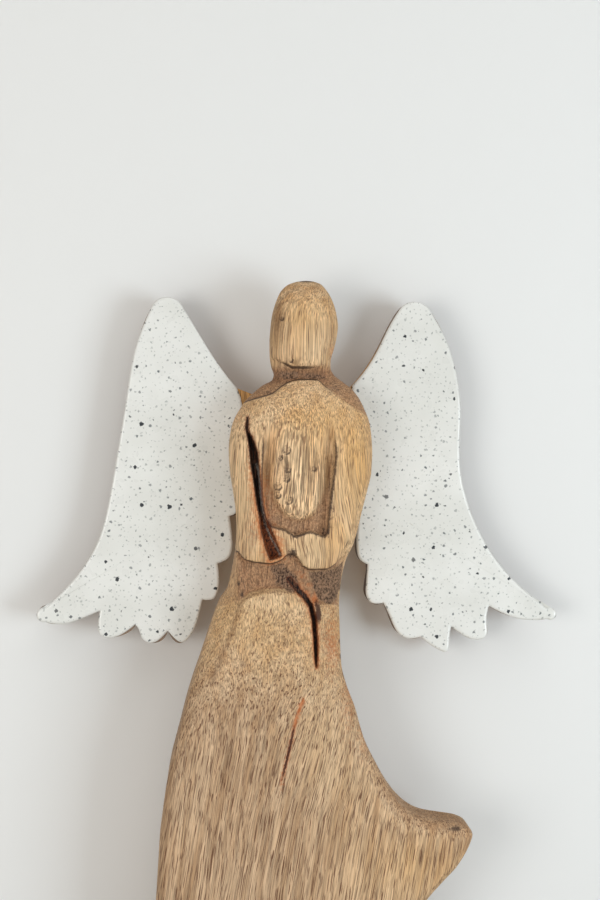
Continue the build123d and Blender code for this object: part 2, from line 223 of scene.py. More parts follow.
# ---- the wings: their outlines, as on the sawn boards --------------------------------------------
LEFT_WING = {
    "slope": [(-26.5, 249.0), (-28.2, 253.2), (-31.6, 257.2), (-40.4, 269.6), (-49.0, 283.8),
              (-52.0, 288.6)],
    "crown": (-59.3, 293.6),
    "leading": [(-66.6, 288.2), (-72.2, 274.4), (-77.4, 247.8), (-81.0, 225.6), (-84.8, 203.6),
                (-90.2, 184.4), (-99.6, 169.4), (-112.6, 156.2)],
    "tip": (-116.3, 151.8),
    "trailing": [(-112.8, 149.8), (-106.2, 148.9), (-97.4, 151.0), (-88.9, 154.6)],
    "feathers": [
        [(-89.7, 148.2), (-88.4, 143.6), (-85.2, 142.6), (-73.4, 148.3)],
        [(-72.0, 146.6), (-69.8, 141.6), (-66.8, 140.2), (-58.9, 145.4)],
        [(-51.8, 140.4), (-49.0, 143.0), (-45.0, 153.2), (-43.6, 159.1)],
        [(-38.6, 159.6), (-36.7, 163.4), (-36.9, 175.2)],
        [(-32.2, 177.6), (-30.4, 182.4), (-30.5, 187.8), (-31.6, 196.2)],
    ],
    "root": [(-8.0, 200.0), (-8.0, 243.0), (-20.0, 250.0), (-24.0, 251.6)],
    "tucked": [(-28.6, 197.6), (-26.0, 204.0), (-25.5, 225.0), (-25.4, 242.0)],
}
RIGHT_WING = {
    "slope": [(23.5, 250.0), (23.2, 254.4), (27.0, 258.6), (35.2, 271.2), (41.2, 283.2), (44.6, 288.6)],
    "crown": (52.0, 292.4),
    "leading": [(58.8, 288.2), (66.0, 275.0), (70.2, 261.8), (72.4, 247.0), (72.4, 217.0), (75.8, 201.8),
                (82.3, 186.4), (92.8, 171.0), (112.6, 153.6)],
    "tip": (116.3, 150.4),
    "trailing": [(112.4, 149.1), (104.3, 148.7), (96.0, 150.2), (85.4, 155.2)],
    "feathers": [
        [(84.4, 148.0), (83.8, 141.2), (81.6, 140.2), (74.4, 141.7), (68.2, 146.0)],
        [(67.4, 140.0), (66.0, 134.7), (63.2, 135.4), (54.3, 141.6)],
        [(48.6, 141.0), (45.8, 142.0), (40.4, 150.8), (37.4, 157.0)],
        [(31.6, 157.4), (29.8, 160.0), (29.6, 165.4), (30.2, 174.4)],
        [(27.0, 176.4), (25.4, 181.8), (25.8, 193.2)],
    ],
    "root": [(6.0, 198.0), (6.0, 243.0), (16.0, 249.0), (20.0, 252.0)],
    "tucked": [(24.4, 196.0), (23.4, 204.0), (23.0, 225.0), (22.8, 242.0)],
}
# where the wings' centres lie, as (x, z)
LEFT_CENTRE = (-49.0, 194.0)
RIGHT_CENTRE = (47.0, 194.0)
# depths behind the middle of the block
COAT_FRONT = 8.0
COAT_BACK = 9.2
HOUSING_FLOOR = 7.6
TRAIN_BACK = 3.0
DEEPEST = 23.0
# the sawn base: its middle, how high its rim is rounded and how far the flat is drawn in
BASE_MIDDLE = np.array([-10.0, 0.0, 0.0])
BASE_ROUND = 0.9
BASE_SHARE = 0.985


# ---- lines and distances --------------------------------------------------------------------------
def ease(value, low, high):
    """0 below low, 1 above high, and 3t^2 - 2t^3 of the share t in between."""
    share = np.clip((value - low) / (high - low), 0.0, 1.0)
    return share * share * (3 - 2 * share)


def through(points, at):
    """A line through (key, value) points that never overshoots them.

    Each span is a cubic whose end slopes are weighted harmonic means of the two neighbouring
    straight slopes, or 0 where those turn round.
    """
    key, value = np.array(points, float).T
    span, slope = np.diff(key), np.diff(value) / np.diff(key)
    before, after = span[1:] + 2 * span[:-1], 2 * span[1:] + span[:-1]
    turning = slope[:-1] * slope[1:] <= 0
    safe = np.where(turning, 1.0, slope[:-1]), np.where(turning, 1.0, slope[1:])
    middle = np.where(turning, 0.0, (before + after) / (after / safe[0] + before / safe[1]))
    ends = np.concatenate([slope[:1], middle, slope[-1:]])
    at = np.clip(at, key[0], key[-1])
    index = np.clip(np.searchsorted(key, at, side="right") - 1, 0, len(span) - 1)
    t, h = (at - key[index]) / span[index], span[index]
    return ((2 * t**3 - 3 * t**2 + 1) * value[index] + (t**3 - 2 * t**2 + t) * h * ends[index]
            + (3 * t**2 - 2 * t**3) * value[index + 1] + (t**3 - t**2) * h * ends[index + 1])


def flow(points, step):
    """A smooth run through points, one corner every step of its length.

    Each span is a cubic in the length of the straight runs. The spans share their slopes and their
    bends, and the run does not bend at its ends.
    """
    points = np.array(points, float)
    length = np.concatenate([[0.0], np.cumsum(np.hypot(*np.diff(points, axis=0).T))])
    span, slope = np.diff(length), np.diff(points, axis=0) / np.diff(length)[:, None]
    size = len(points)
    inner = np.arange(1, size - 1)
    matrix, right = np.eye(size), np.zeros((size, 2))
    matrix[inner, inner - 1], matrix[inner, inner + 1] = span[:-1], span[1:]
    matrix[inner, inner] = 2 * (span[:-1] + span[1:])
    right[inner] = 6 * np.diff(slope, axis=0)
    bend = np.linalg.solve(matrix, right)
    at = np.linspace(0.0, length[-1], max(2, int(length[-1] / step) + 1))
    index = np.clip(np.searchsorted(length, at, side="right") - 1, 0, size - 2)
    h, t = span[index][:, None], (at - length[index])[:, None]
    return (points[index] + t * (slope[index] - h * (2 * bend[index] + bend[index + 1]) / 6)
            + t**2 * bend[index] / 2 + t**3 * (bend[index + 1] - bend[index]) / (6 * h))


def round_over(first, middle, last, step):
    """The arc of a circle from first over middle to last.

    Its centre is where the perpendiculars through the middles of the two chords meet.
    """
    a, b, c = (np.array(p, float) for p in (first, middle, last))
    centre = np.linalg.solve(np.array([b - a, c - b]), [(b - a) @ (a + b) / 2, (c - b) @ (b + c) / 2])
    start, through_b, end = (np.arctan2(*(p - centre)[::-1]) for p in (a, b, c))
    turn = (end - start) % (2 * np.pi)
    if (through_b - start) % (2 * np.pi) > turn:
        turn -= 2 * np.pi
    radius = np.hypot(*(a - centre))
    angle = start + np.linspace(0.0, turn, max(3, int(radius * abs(turn) / step) + 1))
    return centre + radius * np.c_[np.cos(angle), np.sin(angle)]


def distance_to(x, z, line):
    """The shortest distance from each (x, z) to a run of straight segments."""
    best = np.full(np.shape(x), np.inf)
    for (ax, az), (bx, bz) in zip(line[:-1], line[1:]):
        ux, uz = bx - ax, bz - az
        t = np.clip(((x - ax) * ux + (z - az) * uz) / max(ux * ux + uz * uz, 1e-9), 0.0, 1.0)
        best = np.minimum(best, (x - ax - t * ux) ** 2 + (z - az - t * uz) ** 2)
    return np.sqrt(best)


def depth_inside(x, z, ring):
    """The distance to a closed ring, counted positive inside it and negative outside.

    A point is inside where a ray to the right crosses the ring an odd number of times.
    """
    ring = list(ring) + [ring[0]]
    crossings = np.zeros(np.shape(x), int)
    for (ax, az), (bx, bz) in zip(ring[:-1], ring[1:]):
        level = (az > z) != (bz > z)
        crossings += level & (x < (bx - ax) * (z - az) / (bz - az if bz != az else 1e-9) + ax)
    return distance_to(x, z, ring) * np.where(crossings % 2 == 1, 1.0, -1.0)


def height_above(x, z, line):
    """How far each point stands above a line that is given as (x, z) from left to right."""
    return z - through(line, x)


def lumps(x, z, size, seed):
    """Seeded lumps from -1 to 1: random corners of squares of that size, eased across each square."""
    corners = np.random.default_rng(seed).uniform(-1.0, 1.0, (512, 512))
    u, v = x / size + 200.0, z / size + 100.0
    i, j = np.floor(u).astype(int), np.floor(v).astype(int)
    s, t = ease(u - i, 0, 1), ease(v - j, 0, 1)
    low = corners[i % 512, j % 512] * (1 - s) + corners[(i + 1) % 512, j % 512] * s
    high = corners[i % 512, (j + 1) % 512] * (1 - s) + corners[(i + 1) % 512, (j + 1) % 512] * s
    return low * (1 - t) + high * t


def spots(x, z, places):
    """The strongest of several soft ovals: strength times e to the minus squared share of its radii."""
    total = np.zeros(np.shape(x))
    for cx, cz, rx, rz, strength in places:
        total = np.maximum(total, strength * np.exp(-(((x - cx) / rx) ** 2) - ((z - cz) / rz) ** 2))
    return total


# ---- meshes ---------------------------------------------------------------------------------------
def hoop_faces(rows, columns):
    """Quads between rows of closed hoops, with corner (i, j) numbered i * columns + j."""
    i, j = np.meshgrid(np.arange(rows - 1), np.arange(columns), indexing="ij")
    k = (j + 1) % columns
    return np.stack([i * columns + j, i * columns + k, (i + 1) * columns + k, (i + 1) * columns + j],
                    axis=-1).reshape(-1, 4)


def fan_faces(ring, centre):
    """Triangles from each edge of a ring to one centre corner."""
    return np.stack([ring, np.roll(ring, -1), np.full(len(ring), centre)], axis=-1)


# ---- the carved block -------------------------------------------------------------------------------
def side_lines(levels):
    """The block's side lines at those level numbers: left x, left z, right x and right z."""
    table = np.array(SIDES)
    numbers = np.arange(len(SIDES))
    return [through(np.c_[numbers, table[:, column]], levels) for column in range(4)]


def block_levels(count):
    """Level numbers, closer together where a side line runs fast and above the skirt's fullest part."""
    fine = np.linspace(0, len(SIDES) - 1, 4000)
    lines = np.stack(side_lines(fine))
    left, right = np.hypot(*np.diff(lines[0:2])), np.hypot(*np.diff(lines[2:4]))
    pace = np.maximum(left, right) * (0.5 + 0.62 * ease(lines[1][1:], 112, 130))
    travelled = np.concatenate([[0.0], np.cumsum(pace)])
    return np.interp(np.linspace(0.0, travelled[-1], count), travelled, fine)


def block_outline():
    """The block's outline seen from the front, from the foot of the left side over the crown."""
    lx, lz, rx, rz = side_lines(np.linspace(0, len(SIDES) - 1, 260))
    return np.concatenate([np.c_[lx, lz], [CROWN], np.c_[rx, rz][::-1]])


def carved_rings(x, z):
    """Dark pits at the knots: a shaded hollow in a thin ring that is strongest at the lower right."""
    total = np.zeros(np.shape(x))
    for kx, kz, kr in KNOTS:
        ring = np.exp(-((np.hypot(x - kx, z - kz) - kr) / 0.42) ** 2)
        side = ease(0.6 * (x - kx) - 0.8 * (z - kz), -kr, kr)
        hollow = 0.38 * ease(kr - np.hypot(x - kx, z - kz), -0.2, 0.6)
        total = np.maximum(total, np.maximum(ring * (0.5 + 0.5 * side), hollow))
    return total


def measure_front(x, z):
    """The distances in millimetres from each (x, z) to the lines carved on the front."""
    return SimpleNamespace(
        arm_crack=depth_inside(x, z, ARM_CRACK),
        skirt_crack=distance_to(x, z, SKIRT_CRACK),
        low_crack=distance_to(x, z, LOW_CRACK),
        patch=depth_inside(x, z, WAIST_PATCH),
        scar=depth_inside(x, z, WAIST_SCAR),
        rim=depth_inside(x, z, CHEST_RIM),
        panel=depth_inside(x, z, CHEST_PANEL),
        below_arms=-height_above(x, z, FOREARM_EDGE),
        above_skirt=height_above(x, z, SKIRT_EDGE),
        above_neckline=height_above(x, z, NECKLINE),
        below_chin=-height_above(x, z, CHIN),
        past_ridge=x - through(SKIRT_RIDGE, z),
    )


def carved_depth(x, z):
    """How deep the front is cut at (x, z): each cut is its depth times an ease of a distance."""
    m = measure_front(x, z)
    soft = 1 + 1.6 * ease(x, 2, 8)
    waist = CUTS["waist"] * ease(m.below_arms, -0.1, 0.9) * ease(m.above_skirt, -2.4 * soft, 1.8 * soft)
    waist *= 1 - ease(x, 15, 19) * ease(z, 176, 186)
    waist *= 0.15 + 0.85 * ease(m.past_ridge, -2.2, 0.6)

    fade = 1 - ease(z, 226, 239)
    chest = CUTS["chest"] * ease(m.rim, 0.0, 0.9) * (1 - ease(m.panel, -1.5, 3.2))
    chest += CUTS["chest_rim"] * ease(m.rim, 0.0, 1.0)
    chest += CUTS["chest_facet"] * spots(x, z, CHEST_FACET)

    arm = CUTS["arm_crack"] * ease(m.arm_crack, -0.25, 1.3) * (0.55 + 0.45 * ease(z, 236, 228))
    crack = CUTS["skirt_crack"] * ease(through(CRACK_CUT_HALF, z) - m.skirt_crack, -0.45, 0.75)
    low = CUTS["low_crack"] * ease(0.55 - m.low_crack, -0.3, 0.5)

    up, under = m.above_neckline, m.below_chin
    neck = CUTS["neck"] * ease(up, -0.2, 0.6) * (1 - ease(up, 3, 10)) * (1 - 0.8 * ease(x, 3, 13))
    throat = CUTS["throat"] * ease(under, -0.1, 0.8) * (1 - ease(under, 2.5, 6.5))
    slant = 0.36 * np.clip(-m.past_ridge, 0, 12) * ease(z, 98, 122) * (1 - ease(z, 172, 181))

    torn = ease(m.scar, -0.8, 0.8) + ease(m.patch, -0.8, 0.8)
    fuzz = torn * (0.35 + 0.45 * lumps(x, z, 0.9, 5) + 0.3 * lumps(x, z, 2.2, 6))
    dimples = spots(x, z, [(kx, kz, kr * 0.7, kr * 0.7, CUTS["knot"]) for kx, kz, kr in KNOTS])
    tooling = 0.16 * lumps(x, z, 6.5, 11) + 0.10 * lumps(x, z, 3.1, 12)
    deepest = np.maximum(waist, np.maximum(arm, crack))
    return deepest + chest * fade + low + neck + throat + slant + fuzz + dimples + tooling


def block_skin(rows, front_columns, back_columns, wall_columns):
    """The block's hoops: front sheet left to right, right wall, back sheet right to left, left wall.

    A sheet's depth is its middle depth, less a bulge times the squared share off the middle, less
    a rim: the fall times 1 - sqrt(1 - (1 - t)^2), where t is the distance to the outline over the
    rim's reach. The front is cut further by carved_depth, and the back is housed for the wings.
    """
    lx, lz, rx, rz = (line[:, None] for line in side_lines(block_levels(rows)))
    outline = block_outline()

    def sheet(columns):
        """The front's or back's x and z, its bulge and its rim, with corners closer near the edges."""
        u = np.linspace(0.0, 1.0, columns)
        share = (0.24 * u + 0.76 * (1 - np.cos(np.pi * u)) / 2)[None, :]
        x, z = lx + (rx - lx) * share, lz + (rz - lz) * share
        reach, fall = through(SIDE_REACH, z), through(SIDE_FALL, z)
        off = through(BULGE, z) * (2 * share - 1) ** 2
        t = np.clip(distance_to(x, z, outline) / reach, 0.0, 1.0)
        return x, z, off, fall * (1 - np.sqrt(1 - (1 - t) ** 2))

    x, z, off, rim = sheet(front_columns)
    y = -through(FRONT, z) + off + rim + carved_depth(x, z)
    front = np.stack([x, np.maximum(y, -DEEPEST), z], axis=-1)

    x, z, off, rim = sheet(back_columns)
    thin = ease(x, 29, 50) * (1 - ease(z, 74, 96))
    y = through(BACK, z) * (1 - thin) + TRAIN_BACK * thin
    y += -off * 0.6 - rim * 0.62 + 0.12 * lumps(x, z, 7.0, 21)
    for wing in (LEFT_WING, RIGHT_WING):
        inside = depth_inside(x, z, board_outline(wing, 1.5))
        y -= np.clip(y - HOUSING_FLOOR, 0, None) * ease(inside, -0.3, 0.5)
    back = np.stack([x, np.minimum(y, DEEPEST), z], axis=-1)[:, ::-1]

    w = np.linspace(0.0, 1.0, wall_columns + 2)[1:-1][None, :, None]
    right = front[:, -1:] * (1 - w) + back[:, :1] * w
    left = back[:, -1:] * (1 - w) + front[:, :1] * w
    return np.concatenate([front, right, back, left], axis=1)


def grain_place(x, y, z):
    """Where each point lies in the straight grain of the log, from its place in the block.

    The fibres run along z. In the skirt they lean to the right going up, more about the middle,
    and on the right arm they lean left. DIVE turns them towards the front where pores are cut.
    """
    lean = 0.15 * np.clip(z, 0, 122) + 0.03 * np.clip(z - 122, 0, None)
    fan = 0.13 * np.exp(-(((x - 4) / 17) ** 2)) * np.clip(z - 70, 0, 58)
    arm = -0.24 * (z - 222) * ease(x, 8, 22) * ease(z, 160, 190) * (1 - ease(z, 200, 240))
    hands = -0.25 * (z - 184) * spots(x, z, [(3.0, 184.0, 9.0, 7.0, 1.0)])
    return np.stack([x - lean - fan - arm - hands, y + through(DIVE, z), z], axis=-1)


def block_marks(corners):
    """What the wood's colours, with their painted shade and highlights, need to know at each corner, as
    shares that are 0 away from the front.

    Three marks differ: grain is a place in the log, gap is how many millimetres a corner lies inside
    a split, and dusk goes all round the skirt.
    """
    x, y, z = corners.T
    m = measure_front(x, z)
    outline = distance_to(x, z, block_outline())
    train = ease(x, 24, 34) * (1 - ease(outline, 2.4, 4.6)) * ease(z, 50, 60)
    waist = ease(m.below_arms, 0.0, 0.6) * ease(m.above_skirt, -0.4, 0.8) * (1 - ease(x, 14, 17))
    waist *= 0.35 + 0.65 * ease(x, -31, -26)
    chest_floor = ease(m.rim, 0.0, 0.8) * ease(-m.panel, -1.5, 0.8) * ease(-z, -212, -203)
    chest_line = ease(1.0 - np.abs(m.rim), 0.0, 1.0) * (1 - ease(z, 226, 234))
    up = m.above_neckline
    crack = through(CRACK_STAIN_HALF, z) - m.skirt_crack
    bark = [(bx, bz, 0.7, 1.5, 1.0) for bx, bz in BARK]

    lower_arm = ease(230 - z, 0, 20)
    arm_fringe = np.exp(-np.clip(-m.arm_crack, 0, None) / (0.8 + 1.4 * lower_arm)) * (m.arm_crack < 0)
    crack_fringe = np.exp(-np.clip(-crack, 0, None) / 1.4) * ease(z, 124, 134)
    low_fringe = np.exp(-m.low_crack / 0.75) * ease(z, 78, 90)
    low_core = ease(0.5 - m.low_crack, -0.45, 0.45) * ease(z, 79, 93) * (1 - ease(z, 103, 115))

    collar = ease(up, -0.4, 1.2) * (1 - ease(z, 259, 263.5)) * (1 - 0.35 * ease(x, 8, 16))
    panel_side = ease(m.panel, 2.2, -0.6) * ease(m.rim, 0.0, 1.0) * (1 - ease(z, 219, 230))
    skirt_rim = ease(1.4 - np.abs(m.above_skirt + 0.9), 0.0, 1.4) * ease(x, -30, -26)
    skirt_rim *= 1 - ease(x, -1, 3)
    ridge = ease(3.0 - np.abs(m.past_ridge + 1.6), 0.0, 3.0) * ease(z, 118, 132)
    ridge *= 1 - ease(z, 168, 176)
    combed = ease(m.panel, -0.4, 2.2) * (1 - ease(z, 213, 227)) + 0.35 * ease(m.panel, 0, 2)

    marks = {
        "gap": np.maximum(np.clip(m.arm_crack, -6, 3), np.clip(crack, -6, 3)),
        "rough": np.maximum.reduce([
            ease(m.scar, -0.8, 1.2),
            0.9 * ease(m.patch, -0.8, 1.0),
            spots(x, z, TORN_SPOTS),
        ]),
        # worn colour, partly painted shade: in the hollows of the waist, chest floor and neck, and along
        # the train's upper rim
        "worn_and_shade": np.maximum.reduce([
            waist * (1 - ease(m.scar, -1.5, 0.5)),
            0.9 * chest_floor,
            0.9 * ease(up, -0.2, 1.0) * (1 - ease(z, 260, 264)),
            0.45 * train,
        ]),
        # dark marks, mostly painted shade: lines under the forearms, along the neckline and the chest's
        # rim, under the chin, in the knots' rings and along the train's upper rim; dirt only at the bark
        # bits and the dark spots
        "dirt_and_shade": np.maximum.reduce([
            ease(0.75 - np.abs(m.below_arms - 0.45), 0.0, 0.7) * (1 - ease(x, 17, 21)),
            0.9 * ease(0.7 - np.abs(up - 0.3), 0.0, 0.7) * (1 - ease(x, 8, 16)),
            1.2 * ease(0.9 - np.abs(m.below_chin - 0.4), 0.0, 0.8) * spots(x, z, CHIN_SHADOW),
            0.8 * chest_line * (1 - ease(m.panel, -0.6, 0.8)),
            spots(x, z, bark) * (1 - ease(y, -15, -8)),
            spots(x, z, DARK_SPOTS),
            0.22 * train * ease(2.2 - outline, 0.0, 1.4),
            0.95 * carved_rings(x, z),
        ]),
        "amber": np.maximum.reduce([
            0.95 * arm_fringe * (0.5 + 0.5 * lower_arm),
            0.8 * crack_fringe,
            1.2 * low_fringe,
            spots(x, z, AMBER_SPOTS),
        ]),
        "umber": np.maximum(spots(x, z, UMBER_SPOTS), low_core),
        "gold": spots(x, z, GOLD_SPOTS),
        # pale patches with painted highlights
        "pale": spots(x, z, PALE_AND_LIT_SPOTS),
        "shade": np.maximum.reduce([
            0.85 * collar * ease(z, 250, 257),
            0.5 * ease(up, -0.4, 1.0) * (1 - ease(z, 259, 263)),
            0.16 * chest_floor * ease(np.abs(m.panel), 0.0, 3.0),
            0.45 * chest_line,
            0.55 * panel_side,
            0.66 * waist,
            0.5 * skirt_rim,
            0.5 * ridge,
            spots(x, z, SHADE_SPOTS),
        ]),
        "ashen": 1.1 - distance_to(x, z, FIBRE_LINE),
        "split_low": (1 - ease(z, 190, 207)) * ease(z, 172.5, 176.5),
        "combed": np.minimum(combed, 1.0),
    }
    front = ease(-y, -6, 0)
    marks = {key: values * front for key, values in marks.items()}
    marks["gap"] -= 6 * (1 - front)
    marks["grain"] = grain_place(x, y, z)
    marks["dusk"] = (1 - ease(z, 112, 150)) * (0.62 + 0.38 * ease(-x, -30, 10))
    return marks


def carve_block(settings):
    """One closed skin: block_skin's hoops, an inset hoop and a fan under the base, a fan at the crown."""
    hoops = block_skin(settings.rows, settings.front_columns, settings.back_columns, 6)
    rows, columns = hoops.shape[:2]
    inset = BASE_MIDDLE + (hoops[0] - BASE_MIDDLE) * BASE_SHARE
    hoops[0, :, 2] = BASE_ROUND
    corners = np.concatenate([inset[None], hoops]).reshape(-1, 3)
    corners = np.concatenate([corners, [BASE_MIDDLE, (CROWN[0], -1.0, CROWN[1])]])
    total = (rows + 1) * columns
    quads = hoop_faces(rows + 1, columns)
    under = fan_faces(np.arange(columns)[::-1], total)
    over = fan_faces(rows * columns + np.arange(columns), total + 1)
    return corners, quads.tolist() + under.tolist() + over.tolist()


# ---- the wings --------------------------------------------------------------------------------------
def feathered_edge(wing, step):
    """The wing's edge from the top of its root round to the foot: smooth runs that meet at notches."""
    slope, leading, trailing = wing["slope"], wing["leading"], wing["trailing"]
    runs = [np.array(slope[:1]), flow(slope[1:], step)]
    runs.append(round_over(slope[-1], wing["crown"], leading[0], step)[1:])
    runs.append(flow(leading, step)[1:])
    runs.append(round_over(leading[-1], wing["tip"], trailing[0], step / 2)[1:])
    runs.append(flow(trailing, step)[1:])
    notch = trailing[-1]
    for lobe in wing["feathers"]:
        runs.append(flow([notch, *lobe], step)[1:])
        notch = lobe[-1]
    return np.concatenate(runs)


def board_outline(wing, step):
    """The sawn board's closed outline: its feathered edge and its root."""
    return [tuple(p) for p in feathered_edge(wing, step)] + wing["root"]


def coat_skin(wing, centre, lip, dish, rings):
    """A closed coat of enamel over a wing's front, as hoops from the front's middle round to the back's.

    A hoop is the outline drawn in towards the centre by a share. The front lies at its flat depth,
    plus a lip that falls away at the rim as 1 - sqrt(1 - (1 - d/lip)^2), plus a dish that eases in
    from the rim; the back keeps to the board.
    """
    outline = feathered_edge(wing, 0.8)
    closing = flow([tuple(outline[-1]), *wing["tucked"], tuple(outline[0])], 0.8)[1:-1]
    outline = np.concatenate([outline, closing])
    share = 1 - (1 - np.linspace(0.02, 1.0, rings)) ** 1.9
    centre = np.array(centre)
    flat = centre + (outline - centre)[None] * share[:, None, None]
    x, z = flat[..., 0], flat[..., 1]
    line = [tuple(p) for p in outline] + [tuple(outline[0])]
    away = distance_to(x, z, line)
    away[-1] = 0.0
    t = np.clip(away / lip, 0.0, 1.0)
    fall = (COAT_BACK - COAT_FRONT - 0.15) * (1 - np.sqrt(1 - (1 - t) ** 2))
    y = COAT_FRONT + fall + dish * (1 - share[:, None] ** 2) ** 2
    y += 0.05 * lumps(x, z, 11.0, 31) * ease(away, 0, 3)
    front = np.stack([x, y, z], axis=-1)
    back = np.stack([x[[-1, 0]], np.full((2, x.shape[1]), COAT_BACK), z[[-1, 0]]], axis=-1)
    return np.concatenate([front, back])


def coat_wing(side, wing, centre, settings, material):
    """Builds one enamel coat, with both of its middles closed by fans."""
    hoops = coat_skin(wing, centre, settings.lip, settings.dish, settings.rings)
    rows, columns = hoops.shape[:2]
    corners = np.concatenate([hoops.reshape(-1, 3), [hoops[0].mean(axis=0), hoops[-1].mean(axis=0)]])
    total = rows * columns
    quads = hoop_faces(rows, columns)
    fans = np.concatenate([
        fan_faces(np.arange(columns)[::-1], total),
        fan_faces((rows - 1) * columns + np.arange(columns), total + 1),
    ])
    x, z = hoops[0, :, 0], hoops[0, :, 2]
    if np.sum(x * np.roll(z, -1) - np.roll(x, -1) * z) > 0:
        quads, fans = quads[:, ::-1], fans[:, ::-1]
    mesh = bpy.data.meshes.new(f"{side}_wing_coat")
    mesh.from_pydata((corners * MM).tolist(), [], quads.tolist() + fans.tolist())
    return finish_piece(mesh, mesh.name, material, [f"{side}_wing_enamel"])


def finish_piece(mesh, name, material, nodes):
    """Gives a mesh its object and finish, and lets it ride on the root body in its nodes' place."""
    mesh.shade_smooth()
    if mesh.validate():
        raise RuntimeError(f"{name} has faces that had to be mended")
    mesh.materials.append(material)
    piece = bpy.data.objects.new(name, mesh)
    bpy.context.scene.collection.objects.link(piece)
    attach(piece, "root")
    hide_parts(*nodes)
    return piece


# ---- finishes ---------------------------------------------------------------------------------------
WOOD_TONES = {
    "tan": paint(196, 160, 112), "cream": paint(226, 196, 156), "shade": paint(146, 128, 116),
    "dark_fleck": paint(126, 92, 60), "light_fleck": paint(232, 208, 172), "worn_and_shade": paint(178, 132, 98),
    "amber": paint(186, 104, 50), "umber": paint(58, 24, 14), "dirt_and_shade": paint(62, 46, 38),
    "dark_fuzz": paint(46, 33, 28), "light_fuzz": paint(152, 120, 96),
    "dark_char": paint(28, 19, 16), "light_char": paint(104, 66, 46), "soot": paint(22, 16, 14),
    "dark_ember": paint(62, 31, 20), "light_ember": paint(164, 92, 50), "ember_edge": paint(34, 20, 18),
    "dark_ash": paint(70, 62, 60), "light_ash": paint(176, 168, 158), "scorch": paint(88, 36, 18),
}
BOARD_TONES = {
    "pale": paint(176, 132, 88), "brown": paint(128, 90, 62), "shadow": paint(58, 42, 33),
    "golden": paint(206, 158, 96), "grey": paint(132, 118, 106), "pore": paint(72, 48, 34),
}
ENAMEL_TONES = {"cool": paint(221, 222, 218), "dust": paint(128, 134, 132), "dot": paint(78, 88, 92)}
STEEL_TONES = {"bright": paint(196, 194, 186), "tarnish": paint(138, 128, 112)}


class Recipe:
    """Lays the nodes of one material or node group and links them."""

    def __init__(self, tree):
        self.tree = tree

    def lay(self, kind, feeds=None, **settings):
        """Adds one node with its settings and its inputs."""
        node = self.tree.nodes.new(kind)
        for key, value in settings.items():
            setattr(node, key, value)
        return self.feed(node, feeds or {})

    def feed(self, node, feeds):
        """Links a node's inputs to other nodes' outputs, and sets them where a plain value is given."""
        for key, value in feeds.items():
            if isinstance(value, bpy.types.NodeSocket):
                self.tree.links.new(value, node.inputs[key])
            else:
                node.inputs[key].default_value = value
        return node

    def math(self, operation, *values):
        """One step of arithmetic on plain numbers."""
        return self.lay("ShaderNodeMath", dict(enumerate(values)), operation=operation).outputs[0]

    def shift(self, operation, *values):
        """One step of arithmetic on vectors; the factor of a SCALE is the fourth input."""
        feeds = {(3 if operation == "SCALE" and i else i): v for i, v in enumerate(values)}
        return self.lay("ShaderNodeVectorMath", feeds, operation=operation).outputs[0]

    def ease(self, value, low, high, bottom=0.0, top=1.0):
        """From bottom to top as the value goes from low to high, eased at both ends."""
        feeds = {0: value, 1: low, 2: high, 3: bottom, 4: top}
        return self.lay("ShaderNodeMapRange", feeds, interpolation_type="SMOOTHSTEP").outputs[0]

    def blend(self, share, first, second, way="MIX"):
        """The second colour laid over the first by a share."""
        feeds = {0: share, 6: first, 7: second}
        return self.lay("ShaderNodeMix", feeds, data_type="RGBA", blend_type=way).outputs[2]

    def noise(self, place, size=1.0, detail=2.0, roughness=0.5):
        """Clouds of that size."""
        feeds = {"Vector": place, "Scale": 1.0 / size, "Detail": detail, "Roughness": roughness}
        return self.lay("ShaderNodeTexNoise", feeds)

    def cells(self, place, size=1.0, dimensions="3D"):
        """Scattered cells of that size."""
        feeds = {"Vector": place, "Scale": 1.0 / size}
        return self.lay("ShaderNodeTexVoronoi", feeds, voronoi_dimensions=dimensions)

    def grey(self, value):
        """A value as a grey colour."""
        return self.lay("ShaderNodeCombineColor", {0: value, 1: value, 2: value}).outputs[0]

    def mark(self, name):
        """An attribute of the mesh."""
        return self.lay("ShaderNodeAttribute", attribute_name=name)

    def millimetres(self):
        """The object's own coordinates, in millimetres."""
        return self.shift("SCALE", self.lay("ShaderNodeTexCoord").outputs["Object"], 1 / MM)

    def bump(self, height, strength, distance):
        """The normal of a fine relief."""
        feeds = {"Height": height, "Strength": strength, "Distance": distance}
        return self.lay("ShaderNodeBump", feeds).outputs[0]


def rgba(colour):
    """A colour with full alpha."""
    return (*colour[:3], 1.0)


def new_group(name, inputs, outputs):
    """An empty shader node group with named sockets, and its input and output nodes."""
    group = bpy.data.node_groups.new(name, "ShaderNodeTree")
    for key, (kind, value) in inputs.items():
        socket = group.interface.new_socket(key, in_out="INPUT", socket_type=kind)
        if value is not None:
            socket.default_value = value
    for key, kind in outputs.items():
        group.interface.new_socket(key, in_out="OUTPUT", socket_type=kind)
    recipe = Recipe(group)
    return recipe, recipe.lay("NodeGroupInput"), recipe.lay("NodeGroupOutput")


# name, width, dive and run in millimetres, detail, roughness
FIGURE = (
    ("Fibres", 0.42, 1.2, 40, 2.0, 0.60),
    ("Bands", 4.2, 5.0, 70, 2.0, 0.55),
    ("Flecks", 1.1, 2.2, 26, 3.0, 0.60),
)


